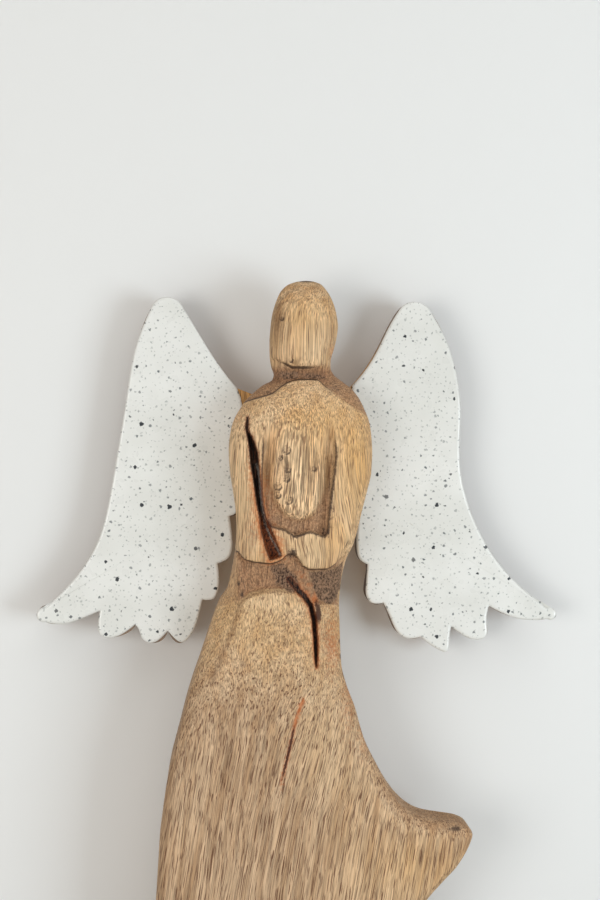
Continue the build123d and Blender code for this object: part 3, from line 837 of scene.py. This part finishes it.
def timber_figure():
    """The node group of all the wood: pores, fibres and broad bands in straight-grain millimetres."""
    if "timber_figure" in bpy.data.node_groups:
        return bpy.data.node_groups["timber_figure"]
    r, given, put = new_group(
        "timber_figure",
        {"Grain": ("NodeSocketVector", None), "Wander": ("NodeSocketFloat", 1.0)},
        {"Pores": "NodeSocketFloat", "Fibres": "NodeSocketFloat", "Bands": "NodeSocketFloat",
         "Flecks": "NodeSocketFloat"},
    )
    place = given.outputs["Grain"]
    slow = r.noise(r.shift("MULTIPLY", place, (1 / 20, 1 / 20, 1 / 60)), detail=2.0).outputs["Color"]
    wander = r.shift("SCALE", r.shift("SUBTRACT", slow, (0.5, 0.5, 0.5)), 4.0)
    wander = r.shift("MULTIPLY", wander, (1.0, 1.0, 0.0))
    place = r.shift("ADD", place, r.shift("SCALE", wander, given.outputs["Wander"]))

    def pores(width, dive, run, core, edge):
        """Open pores as long cells: darker or paler, each with a core and a soft edge."""
        spread = r.shift("MULTIPLY", place, (1 / width, 1 / dive, 1 / run))
        found = r.cells(spread)
        rand = r.lay("ShaderNodeSeparateColor", {0: found.outputs["Color"]})
        reach = r.math("MULTIPLY_ADD", rand.outputs[0], core, core * 0.55)
        mask = r.ease(r.math("SUBTRACT", found.outputs["Distance"], reach), 0.0, edge, 1.0, 0.0)
        return r.math("MULTIPLY", mask, r.math("MULTIPLY_ADD", rand.outputs[1], 0.6, 0.4))

    streaks = r.noise(r.shift("MULTIPLY", place, (1 / 0.36, 1 / 0.85, 1 / 15)), detail=1.0).outputs[0]
    lines = r.ease(streaks, 0.575, 0.665)
    broad = r.math("MULTIPLY", pores(1.0, 1.7, 17.0, 0.17, 0.09), 0.85)
    r.feed(put, {"Pores": r.math("MAXIMUM", lines, broad)})
    for key, width, dive, run, detail, roughness in FIGURE:
        spread = r.shift("MULTIPLY", place, (1 / width, 1 / dive, 1 / run))
        r.feed(put, {key: r.noise(spread, 1.0, detail, roughness).outputs[0]})
    return r.tree


def new_material(name):
    """An empty material with one Principled shader on its output."""
    material = bpy.data.materials.new(name)
    material.use_nodes = True
    material.node_tree.nodes.clear()
    r = Recipe(material.node_tree)
    shader = r.lay("ShaderNodeBsdfPrincipled")
    r.lay("ShaderNodeOutputMaterial", {"Surface": shader.outputs[0]})
    return material, r, shader


def carved_wood(settings):
    """Oiled open-pored hardwood with its cracks, scars and stains, and with painted shade and highlights.
    """
    material, r, shader = new_material("carved_wood")
    figure = r.lay("ShaderNodeGroup", node_tree=timber_figure())
    r.feed(figure, {"Grain": r.mark("grain").outputs["Vector"]})
    pores, fibres, bands, flecks = (figure.outputs[k] for k in ("Pores", "Fibres", "Bands", "Flecks"))
    place = r.millimetres()
    jag = r.math("SUBTRACT", r.noise(place, 1.1, 4.0, 0.65).outputs[0], 0.5)
    slow = r.noise(place, 26.0, 3.0).outputs[0]
    grit = r.noise(r.shift("MULTIPLY", place, (1.0, 1.0, 0.6)), 0.75, 4.0, 0.72).outputs[0]
    tone = {key: rgba(colour) for key, colour in WOOD_TONES.items()}
    marks = {key: r.mark(key).outputs["Fac"] for key in (
        "gap", "rough", "worn_and_shade", "dirt_and_shade", "amber", "umber", "gold", "pale", "dusk", "shade", "ashen",
        "split_low", "combed")}

    def jagged(key, amount):
        """A mark with a ragged edge."""
        return r.math("MULTIPLY_ADD", jag, amount, marks[key])

    def part_of(key, share):
        """A mark at a share of its strength."""
        return r.math("MULTIPLY", marks[key], share)

    # the timber, darker and duller in the skirt, with golden and pale patches, where the pale ones
    # include painted highlights
    banded = r.ease(bands, 0.32, 0.70)
    wood = r.blend(banded, rgba(settings.pale_wood), rgba(settings.brown_wood))
    wood = r.blend(r.math("MULTIPLY", r.ease(slow, 0.40, 0.66), 0.55), wood, tone["tan"])
    dull = r.blend(banded, rgba(settings.pale_skirt), rgba(settings.brown_skirt))
    wood = r.blend(marks["dusk"], wood, dull)
    wood = r.blend(part_of("gold", 0.75), wood, rgba(settings.gold_wood))
    wood = r.blend(part_of("pale", 0.7), wood, tone["cream"])

    # its fibres and flecks, stronger where the chest is combed
    wood = r.blend(1.0, wood, r.grey(r.ease(fibres, 0.30, 0.70, 0.62, 1.32)), "MULTIPLY")
    wood = r.blend(r.math("MULTIPLY", r.ease(flecks, 0.54, 0.70), 0.14), wood, tone["dark_fleck"])
    wood = r.blend(r.math("MULTIPLY", r.ease(flecks, 0.46, 0.30), 0.14), wood, tone["light_fleck"])
    # painted shade: the wood darkened by the shade mark in creases, hollows and along some sides
    shaded = r.blend(1.0, wood, tone["shade"], "MULTIPLY")
    wood = r.blend(r.ease(jagged("shade", 0.5), 0.05, 1.0), wood, shaded)
    strong = r.blend(1.0, wood, r.grey(r.ease(fibres, 0.38, 0.62, 0.58, 1.26)), "MULTIPLY")
    wood = r.blend(marks["combed"], wood, strong)

    # worn colour, partly painted shade in the hollows of the waist, chest and neck and on the train's
    # rim, and pores that are weaker where they are cut across
    wood = r.blend(part_of("worn_and_shade", 0.50), wood, tone["worn_and_shade"])
    calm = r.ease(marks["dusk"], 0.0, 0.6, 0.72, 1.0)
    deep = r.math("MULTIPLY", r.math("MULTIPLY", pores, calm), settings.pore_strength)
    wood = r.blend(deep, wood, rgba(settings.pore_colour))
    stippled = r.blend(1.0, wood, r.grey(r.ease(grit, 0.40, 0.60, 0.56, 1.22)), "MULTIPLY")
    wood = r.blend(part_of("worn_and_shade", 0.9), wood, stippled)

    # stains, torn fibres, bark and dirt, and painted shade in the creases, under the forearms and chin
    # and on the train's rim
    wood = r.blend(r.ease(jagged("amber", 1.6), 0.10, 0.95, 0.0, 0.78), wood, tone["amber"])
    wood = r.blend(r.ease(jagged("umber", 0.6), 0.25, 0.70, 0.0, 0.92), wood, tone["umber"])
    fuzz = r.blend(r.ease(grit, 0.38, 0.62), tone["dark_fuzz"], tone["light_fuzz"])
    wood = r.blend(r.ease(jagged("rough", 1.8), 0.22, 0.85, 0.0, 0.9), wood, fuzz)
    wood = r.blend(r.ease(jagged("dirt_and_shade", 1.0), 0.18, 0.80, 0.0, 0.85), wood, tone["dirt_and_shade"])

    # the splits: char above, embers below and ash along the fibre
    char = r.blend(r.ease(fibres, 0.44, 0.60), tone["dark_char"], tone["light_char"])
    char = r.blend(r.ease(grit, 0.40, 0.56, 0.8, 0.0), char, tone["soot"])
    ember = r.blend(r.ease(grit, 0.38, 0.62), tone["dark_ember"], tone["light_ember"])
    ember = r.blend(r.ease(jagged("gap", 1.0), 0.5, 0.0, 0.0, 0.75), ember, tone["ember_edge"])
    char = r.blend(r.ease(jagged("split_low", 0.5), 0.3, 0.8), char, ember)
    ash = r.blend(r.ease(grit, 0.4, 0.6), tone["dark_ash"], tone["light_ash"])
    char = r.blend(r.ease(jagged("ashen", 1.3), 0.45, 0.80, 0.0, 0.85), char, ash)
    gap = jagged("gap", 1.5)
    wood = r.blend(r.ease(gap, -0.55, 0.25, 0.0, 0.85), wood, tone["scorch"])
    wood = r.blend(r.ease(gap, -0.05, 0.45), wood, char)

    height = r.math("MULTIPLY_ADD", deep, -0.9, r.math("MULTIPLY", fibres, 0.35))
    height = r.math("MULTIPLY_ADD", r.math("MULTIPLY", grit, marks["rough"]), 1.6, height)
    height = r.math("MULTIPLY_ADD", r.noise(place, 1.6, 3.0).outputs[0], 0.35, height)
    gloss = r.ease(fibres, 0.2, 0.8, settings.wood_roughness - 0.06, settings.wood_roughness + 0.08)
    gloss = r.math("MAXIMUM", gloss, r.ease(marks["rough"], 0.1, 0.8, 0.0, 0.9))
    r.feed(shader, {"Base Color": wood, "Normal": r.bump(height, 0.55, 0.00022), "Roughness": gloss,
                    "Specular IOR Level": 0.34})
    return material


def board_wood():
    """The same timber sawn into wing boards, darker, with painted shadow low down near the body, golden
    high up by the root and grey at the outer edges, on every face but the back.
    """
    material, r, shader = new_material("wing_wood")
    figure = r.lay("ShaderNodeGroup", node_tree=timber_figure())
    place = r.millimetres()
    turned = r.lay("ShaderNodeMapping", {"Vector": place, "Rotation": (0.0, 0.12, 0.0)})
    r.feed(figure, {"Grain": turned.outputs[0]})
    pores, fibres, bands = (figure.outputs[k] for k in ("Pores", "Fibres", "Bands"))
    tone = {key: rgba(colour) for key, colour in BOARD_TONES.items()}
    across, _, up = r.lay("ShaderNodeSeparateXYZ", {0: place}).outputs
    out = r.math("ABSOLUTE", across)
    normal = r.lay("ShaderNodeNewGeometry").outputs["Normal"]
    facing = r.ease(r.lay("ShaderNodeSeparateXYZ", {0: normal}).outputs[1], 0.5, 0.3)
    near = r.math("MULTIPLY", facing, r.ease(out, 48.0, 34.0))

    wood = r.blend(r.ease(bands, 0.30, 0.70), tone["pale"], tone["brown"])
    wood = r.blend(1.0, wood, r.grey(r.ease(fibres, 0.22, 0.78, 0.68, 1.18)), "MULTIPLY")
    # painted shadow on the board low down near the body
    low = r.ease(up, 222.0, 206.0, 0.0, 0.85)
    wood = r.blend(r.math("MULTIPLY", near, low), wood, tone["shadow"])
    high = r.ease(up, 236.0, 244.0, 0.0, 0.75)
    wood = r.blend(r.math("MULTIPLY", near, high), wood, tone["golden"])
    edge = r.math("MULTIPLY", facing, r.ease(out, 30.0, 38.0, 0.0, 0.8))
    wood = r.blend(edge, wood, tone["grey"])
    wood = r.blend(r.math("MULTIPLY", pores, 0.7), wood, tone["pore"])
    height = r.math("MULTIPLY_ADD", pores, -0.9, r.math("MULTIPLY", fibres, 0.4))
    gloss = r.ease(fibres, 0.2, 0.8, 0.58, 0.74)
    r.feed(shader, {"Base Color": wood, "Normal": r.bump(height, 0.5, 0.0002), "Roughness": gloss,
                    "Specular IOR Level": 0.32})
    return material


def speckled_enamel(settings):
    """Glossy white enamel with fired-in grey and black specks of three sizes."""
    material, r, shader = new_material("speckled_enamel")
    place = r.millimetres()
    shaken = r.shift("SUBTRACT", r.noise(place, 1.1, 2.0).outputs["Color"], (0.5, 0.5, 0.5))
    ragged = r.shift("ADD", place, r.shift("SCALE", shaken, 1.6))
    parts = r.lay("ShaderNodeSeparateXYZ", {0: ragged})
    flat = r.lay("ShaderNodeCombineXYZ", {0: parts.outputs[0], 1: parts.outputs[2]}).outputs[0]
    tone = {key: rgba(colour) for key, colour in ENAMEL_TONES.items()}

    def specks(size, radius, kept, edge, offset):
        """Round specks, one to a cell of that size, of which a share is kept."""
        found = r.cells(r.shift("ADD", flat, (offset, offset * 0.7, 0.0)), size, "2D")
        rand = r.lay("ShaderNodeSeparateColor", {0: found.outputs["Color"]})
        away = r.math("MULTIPLY", found.outputs["Distance"], size)
        reach = r.math("MULTIPLY_ADD", rand.outputs[0], radius, radius * 0.35)
        mask = r.ease(r.math("SUBTRACT", away, reach), -edge, edge, 1.0, 0.0)
        there = r.math("LESS_THAN", rand.outputs[1], kept)
        depth = r.math("MULTIPLY_ADD", rand.outputs[2], 0.6, 0.4)
        return r.math("MULTIPLY", mask, r.math("MULTIPLY", there, depth))

    dust = specks(2.2, 0.30, 0.70, 0.16, 0)
    dots = specks(4.4, 0.46, 0.72, 0.15, 31)
    blots = specks(12.0, 0.72, 0.50, 0.16, 57)
    cloud = r.ease(r.noise(place, 22.0, 2.0).outputs[0], 0.3, 0.7)
    glaze = r.blend(cloud, rgba(settings.enamel), tone["cool"])
    glaze = r.blend(r.math("MULTIPLY", dust, 0.62), glaze, tone["dust"])
    glaze = r.blend(r.math("MULTIPLY", dots, 0.95), glaze, tone["dot"])
    glaze = r.blend(r.ease(blots, 0.0, 0.6), glaze, rgba(settings.speck))
    wave = r.noise(place, 7.0, 2.0).outputs[0]
    height = r.math("MULTIPLY_ADD", dots, 0.10, wave)
    gloss = r.ease(wave, 0.3, 0.7, 0.26, 0.36)
    r.feed(shader, {"Base Color": glaze, "Normal": r.bump(height, 0.25, 0.0003), "Roughness": gloss,
                    "Coat Weight": 0.5, "Coat Roughness": 0.12})
    return material


def screw_steel():
    """Zinc-bright steel with fine turning marks and a little tarnish."""
    material, r, shader = new_material("screw_steel")
    place = r.millimetres()
    tarnish = r.noise(place, 1.4, 4.0, 0.6).outputs[0]
    stained = r.ease(tarnish, 0.42, 0.72)
    steel = r.blend(stained, rgba(STEEL_TONES["bright"]), rgba(STEEL_TONES["tarnish"]))
    gloss = r.ease(tarnish, 0.3, 0.8, 0.26, 0.48)
    scratch = r.noise(r.shift("MULTIPLY", place, (6.0, 1.0, 6.0)), 1.0, 2.0).outputs[0]
    r.feed(shader, {"Base Color": steel, "Normal": r.bump(scratch, 0.2, 0.00005), "Roughness": gloss,
                    "Metallic": 1.0})
    return material


def stage_paper(name, colour):
    """Matt paper that shows from its front only, and is clear from behind."""
    material, r, shader = new_material(name)
    r.feed(shader, {"Base Color": rgba(colour), "Roughness": 0.95, "Specular IOR Level": 0.1})
    clear = r.lay("ShaderNodeBsdfTransparent")
    behind = r.lay("ShaderNodeNewGeometry").outputs["Backfacing"]
    mixed = r.lay("ShaderNodeMixShader", {0: behind, 1: shader.outputs[0], 2: clear.outputs[0]})
    output = next(n for n in r.tree.nodes if n.type == "OUTPUT_MATERIAL")
    r.feed(output, {"Surface": mixed.outputs[0]})
    return material


# ---- settings ---------------------------------------------------------------------------------------
def colour_setting(name, description, default):
    """A colour that the panel shows."""
    return FloatVectorProperty(name=name, description=description, default=default, subtype="COLOR",
                               size=3, min=0.0, max=1.0)


def count_setting(name, description, default, low, high):
    """A whole number that the panel shows."""
    return IntProperty(name=name, description=description, default=default, min=low, max=high)


def size_setting(name, description, default, low, high, **more):
    """A measure or share that the panel shows."""
    return FloatProperty(name=name, description=description, default=default, min=low, max=high, **more)


class FigurineBlockSettings(bpy.types.PropertyGroup):
    """Sizes and colours of the carved block."""

    rows: count_setting("Rows", "Hoops from base to crown", 430, 40, 900)
    front_columns: count_setting("Front columns", "Corners across the front", 148, 20, 400)
    back_columns: count_setting("Back columns", "Corners across the back", 54, 10, 300)
    pale_wood: colour_setting("Pale wood", "The timber's lighter bands", paint(218, 186, 147))
    brown_wood: colour_setting("Brown wood", "The timber's darker bands", paint(196, 157, 115))
    pale_skirt: colour_setting("Pale skirt", "The skirt's lighter bands", paint(195, 165, 133))
    brown_skirt: colour_setting("Brown skirt", "The skirt's darker bands", paint(168, 135, 102))
    gold_wood: colour_setting("Golden wood", "Warm patches of the chest and arm", paint(214, 168, 106))
    pore_colour: colour_setting("Pores", "The bottom of an open pore", paint(98, 62, 40))
    pore_strength: size_setting("Pore strength", "How much the pores darken the wood", 0.92, 0.0, 1.0,
                                subtype="FACTOR")
    wood_roughness: size_setting("Wood roughness", "Middle roughness of the oiled wood", 0.60, 0.1, 1.0,
                                 subtype="FACTOR")


class FigurineWingSettings(bpy.types.PropertyGroup):
    """Sizes in millimetres and colours of the enamel coats."""

    rings: count_setting("Rings", "Hoops from the middle of a coat to its rim", 44, 8, 120)
    lip: size_setting("Lip", "Width of the rounded rim, in millimetres", 1.3, 0.2, 4.0)
    dish: size_setting("Dish", "How far the middle lies back, in millimetres", 0.35, 0.0, 0.9)
    enamel: colour_setting("Enamel", "The white of the fired enamel", paint(230, 231, 228))
    speck: colour_setting("Specks", "The darkest specks", paint(44, 50, 56))


class FigurineStageSettings(bpy.types.PropertyGroup):
    """Lights, wall, floor and camera."""

    wall_gap: size_setting("Wall gap", "From the figurine's back to the wall", 0.004, 0.001, 1.0,
                           unit="LENGTH")
    lens: size_setting("Lens", "Focal length in millimetres", 50.0, 20.0, 200.0)
    distance: size_setting("Distance", "From the camera to its target", 0.55, 0.2, 5.0, unit="LENGTH")
    azimuth: size_setting("Azimuth", "How far the camera stands to the left", np.radians(4.0), -3.2, 3.2,
                          subtype="ANGLE")
    right_power: size_setting("Right light", "Power of the light on the right", 3.75, 0.0, 200.0,
                              unit="POWER")
    left_power: size_setting("Left light", "Power of the light on the left", 2.4, 0.0, 200.0,
                             unit="POWER")
    top_power: size_setting("Top light", "Power of the broad light above", 3.3, 0.0, 200.0,
                            unit="POWER")
    sky: size_setting("Sky", "Strength of the surrounding light", 0.42, 0.0, 5.0)


# ---- operators --------------------------------------------------------------------------------------
class FIGURINE_OT_carve_block(bpy.types.Operator):
    """Carve the skirt, train, torso and head from one block"""

    bl_idname = "figurine.carve_block"
    bl_label = "Carve Block"

    def execute(self, context):
        settings = context.scene.figurine_block
        material = carved_wood(settings)
        corners, faces = carve_block(settings)
        mesh = bpy.data.meshes.new("carved_block")
        mesh.from_pydata((corners * MM).tolist(), [], faces)
        for key, values in block_marks(corners).items():
            kind, field = ("FLOAT_VECTOR", "vector") if values.ndim == 2 else ("FLOAT", "value")
            mark = mesh.attributes.new(key, kind, "POINT")
            mark.data.foreach_set(field, values.astype(np.float32).ravel())
        finish_piece(mesh, "carved_block", material, ["figure_body"])
        return {"FINISHED"}


class FIGURINE_OT_finish_boards(bpy.types.Operator):
    """Finish the two sawn wing boards, with painted shadow low down near the body"""

    bl_idname = "figurine.finish_boards"
    bl_label = "Finish Wing Boards"

    def execute(self, context):
        material = board_wood()
        for node in ("left_wing_core", "right_wing_core"):
            dress_node(node, material)
        return {"FINISHED"}


class FIGURINE_OT_coat_wings(bpy.types.Operator):
    """Coat the front of both wings with speckled enamel"""

    bl_idname = "figurine.coat_wings"
    bl_label = "Coat Wings"

    def execute(self, context):
        settings = context.scene.figurine_wings
        material = speckled_enamel(settings)
        coat_wing("left", LEFT_WING, LEFT_CENTRE, settings, material)
        coat_wing("right", RIGHT_WING, RIGHT_CENTRE, settings, material)
        return {"FINISHED"}


class FIGURINE_OT_finish_screws(bpy.types.Operator):
    """Give the four screws their steel"""

    bl_idname = "figurine.finish_screws"
    bl_label = "Finish Screws"

    def execute(self, context):
        material = screw_steel()
        for side in ("left", "right"):
            for place in ("upper", "lower"):
                dress_node(f"{side}_wing_{place}_screw", material)
        return {"FINISHED"}


def dress_node(node, material):
    """Gives a piece of the frame its finish, leaving its mesh alone."""
    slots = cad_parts[node].material_slots
    if not slots:
        raise RuntimeError(f"{node} has no material slot")
    for slot in slots:
        slot.material = material


def add_light(name, power, size, place, target, colour):
    """A square soft light at place that faces target."""
    lamp = bpy.data.lights.new(name, "AREA")
    lamp.energy = power
    lamp.size = size
    lamp.color = colour
    light = bpy.data.objects.new(name, lamp)
    light.location = place
    light.rotation_euler = (Vector(target) - Vector(place)).to_track_quat("-Z", "Y").to_euler()
    bpy.context.scene.collection.objects.link(light)


def add_sheet(name, corners, material):
    """One flat quad for the stage."""
    mesh = bpy.data.meshes.new(name)
    mesh.from_pydata(corners, [], [(0, 1, 2, 3)])
    mesh.materials.append(material)
    sheet = bpy.data.objects.new(name, mesh)
    bpy.context.scene.collection.objects.link(sheet)
    return sheet


class FIGURINE_OT_set_stage(bpy.types.Operator):
    """Set the pale wall and floor, the lights and the camera"""

    bl_idname = "figurine.set_stage"
    bl_label = "Set Stage"

    def execute(self, context):
        scene = context.scene
        settings = scene.figurine_stage
        self.lay_sheets(FRAME_HIGH.y + settings.wall_gap)
        powers = (settings.right_power, settings.left_power, settings.top_power)
        for power, (name, size, place, target, colour) in zip(powers, LIGHTS):
            add_light(name, power, size, place, target, colour)

        world = bpy.data.worlds.new("soft_sky")
        world.use_nodes = True
        background = world.node_tree.nodes["Background"]
        background.inputs["Color"].default_value = SKY_COLOUR
        background.inputs["Strength"].default_value = settings.sky
        scene.world = world
        scene.view_settings.view_transform = "Standard"

        camera = bpy.data.objects.new("camera", bpy.data.cameras.new("camera"))
        camera.data.lens = settings.lens
        camera.data.sensor_width = 36.0
        camera.data.clip_start = 0.01
        away = Vector((-np.sin(settings.azimuth), -np.cos(settings.azimuth), 0.0))
        camera.location = Vector(CAMERA_TARGET) * MM + away * settings.distance
        camera.rotation_euler = (-away).to_track_quat("-Z", "Y").to_euler()
        scene.collection.objects.link(camera)
        scene.camera = camera
        return {"FINISHED"}

    def lay_sheets(self, behind):
        """The wall stands behind the figurine and gives no shadow or bounce, the floor lies under it."""
        wall = add_sheet(
            "stage_wall",
            [(-2, behind, -0.02), (2, behind, -0.02), (2, behind, 2.5), (-2, behind, 2.5)],
            stage_paper("wall_paper", WALL_COLOUR),
        )
        wall.visible_diffuse = False
        wall.visible_glossy = False
        wall.visible_shadow = False
        floor = add_sheet(
            "stage_floor",
            [(-2, -2, 0), (2, -2, 0), (2, 2, 0), (-2, 2, 0)],
            stage_paper("floor_paper", FLOOR_COLOUR),
        )
        floor.visible_shadow = False


class FIGURINE_PT_panel(bpy.types.Panel):
    """Lists the figurine's pieces and their settings"""

    bl_idname = "FIGURINE_PT_panel"
    bl_label = "Carved Angel Figurine"
    bl_space_type = "VIEW_3D"
    bl_region_type = "UI"
    bl_category = "Figurine"

    def draw(self, context):
        groups = (
            (context.scene.figurine_block, (FIGURINE_OT_carve_block, FIGURINE_OT_finish_boards)),
            (context.scene.figurine_wings, (FIGURINE_OT_coat_wings, FIGURINE_OT_finish_screws)),
            (context.scene.figurine_stage, (FIGURINE_OT_set_stage,)),
        )
        for settings, operators in groups:
            box = self.layout.box()
            for key in settings.__annotations__:
                box.prop(settings, key)
            for operator in operators:
                box.operator(operator.bl_idname)


CLASSES = (
    FigurineBlockSettings, FigurineWingSettings, FigurineStageSettings, FIGURINE_OT_carve_block,
    FIGURINE_OT_finish_boards, FIGURINE_OT_coat_wings, FIGURINE_OT_finish_screws, FIGURINE_OT_set_stage,
    FIGURINE_PT_panel,
)


def register():
    """Adds the classes and the scene's three groups of settings."""
    for cls in CLASSES:
        bpy.utils.register_class(cls)
    bpy.types.Scene.figurine_block = PointerProperty(type=FigurineBlockSettings)
    bpy.types.Scene.figurine_wings = PointerProperty(type=FigurineWingSettings)
    bpy.types.Scene.figurine_stage = PointerProperty(type=FigurineStageSettings)


def unregister():
    """Takes them away again."""
    del bpy.types.Scene.figurine_stage
    del bpy.types.Scene.figurine_wings
    del bpy.types.Scene.figurine_block
    for cls in reversed(CLASSES):
        bpy.utils.unregister_class(cls)


def main():
    """Registers the classes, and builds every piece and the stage."""
    register()
    bpy.ops.figurine.carve_block()
    bpy.ops.figurine.finish_boards()
    bpy.ops.figurine.coat_wings()
    bpy.ops.figurine.finish_screws()
    bpy.ops.figurine.set_stage()


if __name__ == "__main__":
    main()
